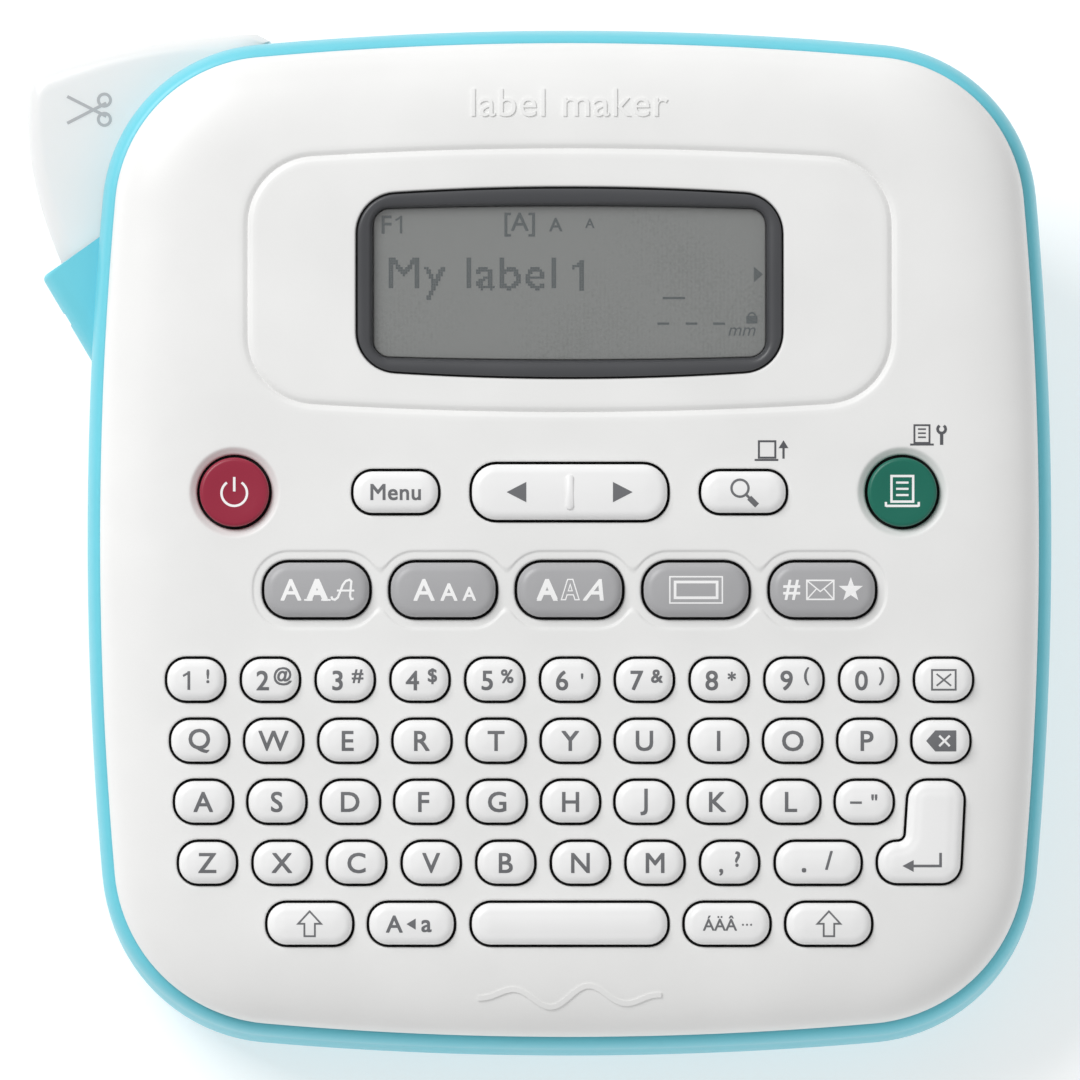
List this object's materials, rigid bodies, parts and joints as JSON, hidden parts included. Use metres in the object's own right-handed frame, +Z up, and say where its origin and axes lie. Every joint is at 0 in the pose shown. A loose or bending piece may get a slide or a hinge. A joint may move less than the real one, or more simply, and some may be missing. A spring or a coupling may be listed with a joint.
{
  "type": "label maker",
  "caption": "Desktop label maker with a sloped keyboard deck, a small display, a corner cutter lever and a battery and tape door underneath.",
  "frame": {"origin": "centre of the footprint, on the surface the feet rest on", "axes": "+Z up, +X to the right of a person typing, +Y away from them towards the raised rear"},
  "size_m": [0.157, 0.1559, 0.0692],
  "materials": {
    "turquoise_abs": "satin moulded ABS",
    "white_abs": "satin moulded ABS",
    "black_abs": "matte moulded ABS",
    "dark_grey_abs": "satin",
    "clear_pmma": "polished clear acrylic",
    "lcd_glass": "satin display glass",
    "board_laminate": "solder mask over glass laminate",
    "silicone": "matte silicone rubber",
    "plated_steel": "nickel-plated steel",
    "gear_pom": "natural acetal",
    "black_rubber": "matte rubber",
    "ceramic": "glazed ceramic substrate",
    "bare_aluminium": "bare sheet",
    "cassette_plastic": "moulded styrene",
    "lever_plastic": "milky translucent plastic",
    "cell_sleeve": "printed film over a steel can",
    "white_key": "satin moulded key",
    "grey_key": "satin moulded key",
    "red_key": "satin moulded key",
    "green_key": "satin moulded key"
  },
  "bodies": {
    "case": {"base_shell": "turquoise_abs", "top_cover": "white_abs", "mechanism_frame": "black_abs", "power_inlet": "black_abs", "display_frame": "dark_grey_abs", "display_window": "clear_pmma", "lcd_module": "lcd_glass", "circuit_board": "board_laminate", "key_contact_sheet": "silicone", "drive_motor": "plated_steel", "print_head": "ceramic", "head_heat_sink": "bare_aluminium", "tape_cassette": "cassette_plastic", "lever_pivot_pin": "plated_steel", "lever_spring": "plated_steel", "battery_contacts_front": "plated_steel", "battery_contacts_rear": "plated_steel", "battery_1": "cell_sleeve", "battery_2": "cell_sleeve", "battery_3": "cell_sleeve", "battery_4": "cell_sleeve", "battery_5": "cell_sleeve", "battery_6": "cell_sleeve", "case_screw_1": "plated_steel", "case_screw_2": "plated_steel", "case_screw_3": "plated_steel", "case_screw_4": "plated_steel", "foot_front_left": "black_rubber", "foot_front_right": "black_rubber", "foot_rear_left": "black_rubber", "foot_rear_right": "black_rubber"},
    "bottom_door": {"bottom_cover": "turquoise_abs"},
    "lever": {"cutter_lever": "lever_plastic", "cutter_blade": "plated_steel"},
    "reduction": {"reduction_gear": "gear_pom"},
    "platen": {"platen_roller": "black_rubber", "platen_gear": "gear_pom"},
    "pinion": {"motor_pinion": "gear_pom"},
    "spindle": {"ribbon_spindle": "gear_pom"},
    "cursor": {"key_cursor": "white_key"},
    "power_key": {"key_power": "red_key"},
    "menu_key": {"key_menu": "white_key"},
    "find_key": {"key_find": "white_key"},
    "print_key": {"key_print": "green_key"},
    "font_key": {"key_font": "grey_key"},
    "size_key": {"key_size": "grey_key"},
    "style_key": {"key_style": "grey_key"},
    "frame_key": {"key_frame": "grey_key"},
    "symbol_key": {"key_symbol": "grey_key"},
    "enter_key": {"key_enter": "white_key"},
    "period_key": {"key_period": "white_key"},
    "shift_left_key": {"key_shift_left": "white_key"},
    "caps_key": {"key_caps": "white_key"},
    "space_key": {"key_space": "white_key"},
    "accent_key": {"key_accent": "white_key"},
    "shift_right_key": {"key_shift_right": "white_key"},
    "digit_row_keys": {"keys_digit_row": "white_key"},
    "upper_row_keys": {"keys_upper_row": "white_key"},
    "home_row_keys": {"keys_home_row": "white_key"},
    "lower_row_keys": {"keys_lower_row": "white_key"}
  },
  "joints": [
    {"name": "power_press", "type": "slide", "parent": "case", "child": "power_key", "axis": [0, 0.284, -0.9588], "range_m": [0, 0.0012], "stiffness_N_per_m": 300, "springref_m": -0.0006},
    {"name": "menu_press", "type": "slide", "parent": "case", "child": "menu_key", "axis": [0, 0.284, -0.9588], "range_m": [0, 0.0012], "stiffness_N_per_m": 300, "springref_m": -0.0006},
    {"name": "find_press", "type": "slide", "parent": "case", "child": "find_key", "axis": [0, 0.284, -0.9588], "range_m": [0, 0.0012], "stiffness_N_per_m": 300, "springref_m": -0.0006},
    {"name": "print_press", "type": "slide", "parent": "case", "child": "print_key", "axis": [0, 0.284, -0.9588], "range_m": [0, 0.0012], "stiffness_N_per_m": 300, "springref_m": -0.0006},
    {"name": "font_press", "type": "slide", "parent": "case", "child": "font_key", "axis": [0, 0.284, -0.9588], "range_m": [0, 0.0012], "stiffness_N_per_m": 300, "springref_m": -0.0006},
    {"name": "size_press", "type": "slide", "parent": "case", "child": "size_key", "axis": [0, 0.284, -0.9588], "range_m": [0, 0.0012], "stiffness_N_per_m": 300, "springref_m": -0.0006},
    {"name": "style_press", "type": "slide", "parent": "case", "child": "style_key", "axis": [0, 0.284, -0.9588], "range_m": [0, 0.0012], "stiffness_N_per_m": 300, "springref_m": -0.0006},
    {"name": "frame_press", "type": "slide", "parent": "case", "child": "frame_key", "axis": [0, 0.284, -0.9588], "range_m": [0, 0.0012], "stiffness_N_per_m": 300, "springref_m": -0.0006},
    {"name": "symbol_press", "type": "slide", "parent": "case", "child": "symbol_key", "axis": [0, 0.284, -0.9588], "range_m": [0, 0.0012], "stiffness_N_per_m": 300, "springref_m": -0.0006},
    {"name": "enter_press", "type": "slide", "parent": "case", "child": "enter_key", "axis": [0, 0.284, -0.9588], "range_m": [0, 0.0012], "stiffness_N_per_m": 300, "springref_m": -0.0006},
    {"name": "period_press", "type": "slide", "parent": "case", "child": "period_key", "axis": [0, 0.284, -0.9588], "range_m": [0, 0.0012], "stiffness_N_per_m": 300, "springref_m": -0.0006},
    {"name": "shift_left_press", "type": "slide", "parent": "case", "child": "shift_left_key", "axis": [0, 0.284, -0.9588], "range_m": [0, 0.0012], "stiffness_N_per_m": 300, "springref_m": -0.0006},
    {"name": "caps_press", "type": "slide", "parent": "case", "child": "caps_key", "axis": [0, 0.284, -0.9588], "range_m": [0, 0.0012], "stiffness_N_per_m": 300, "springref_m": -0.0006},
    {"name": "space_press", "type": "slide", "parent": "case", "child": "space_key", "axis": [0, 0.284, -0.9588], "range_m": [0, 0.0012], "stiffness_N_per_m": 300, "springref_m": -0.0006},
    {"name": "accent_press", "type": "slide", "parent": "case", "child": "accent_key", "axis": [0, 0.284, -0.9588], "range_m": [0, 0.0012], "stiffness_N_per_m": 300, "springref_m": -0.0006},
    {"name": "shift_right_press", "type": "slide", "parent": "case", "child": "shift_right_key", "axis": [0, 0.284, -0.9588], "range_m": [0, 0.0012], "stiffness_N_per_m": 300, "springref_m": -0.0006},
    {"name": "digit_row_press", "type": "slide", "parent": "case", "child": "digit_row_keys", "axis": [0, 0.284, -0.9588], "range_m": [0, 0.0012], "stiffness_N_per_m": 300, "springref_m": -0.0006},
    {"name": "upper_row_press", "type": "slide", "parent": "case", "child": "upper_row_keys", "axis": [0, 0.284, -0.9588], "range_m": [0, 0.0012], "stiffness_N_per_m": 300, "springref_m": -0.0006},
    {"name": "home_row_press", "type": "slide", "parent": "case", "child": "home_row_keys", "axis": [0, 0.284, -0.9588], "range_m": [0, 0.0012], "stiffness_N_per_m": 300, "springref_m": -0.0006},
    {"name": "lower_row_press", "type": "slide", "parent": "case", "child": "lower_row_keys", "axis": [0, 0.284, -0.9588], "range_m": [0, 0.0012], "stiffness_N_per_m": 300, "springref_m": -0.0006},
    {"name": "cursor_rock", "type": "hinge", "parent": "case", "child": "cursor", "pos_m": [0.00468, 0.0023, 0.04858], "axis": [0, 0.9588, 0.284], "range_deg": [-2.6, 2.6], "stiffness_Nm_per_rad": 0.05},
    {"name": "lever_swing", "type": "hinge", "parent": "case", "child": "lever", "pos_m": [-0.05032, 0.06283, 0.04388], "axis": [0, -0.284, 0.9588], "range_deg": [0, 7], "stiffness_Nm_per_rad": 0.1, "springref_deg": -11.46},
    {"name": "door_swing", "type": "hinge", "parent": "case", "child": "bottom_door", "pos_m": [0.00468, 0.05463, 0.0024], "axis": [1, 0, 0], "range_deg": [0, 90]},
    {"name": "reduction_spin", "type": "hinge", "parent": "case", "child": "reduction", "pos_m": [-0.04077, 0.02157, 0.04208], "axis": [0, -0.284, 0.9588], "continuous": true},
    {"name": "platen_spin", "type": "hinge", "parent": "case", "child": "platen", "pos_m": [-0.05129, 0.03788, 0.04692], "axis": [0, -0.284, 0.9588], "continuous": true},
    {"name": "pinion_spin", "type": "hinge", "parent": "case", "child": "pinion", "pos_m": [-0.05332, 0.01205, 0.03926], "axis": [0, -0.284, 0.9588], "continuous": true},
    {"name": "spindle_spin", "type": "hinge", "parent": "case", "child": "spindle", "pos_m": [-0.02663, 0.03513, 0.0461], "axis": [0, -0.284, 0.9588], "continuous": true}
  ],
  "couplings": [
    {"joint": "platen_spin", "follows": "reduction_spin", "ratio": -1.5},
    {"joint": "pinion_spin", "follows": "reduction_spin", "ratio": -3},
    {"joint": "spindle_spin", "follows": "reduction_spin", "ratio": -1.5}
  ]
}
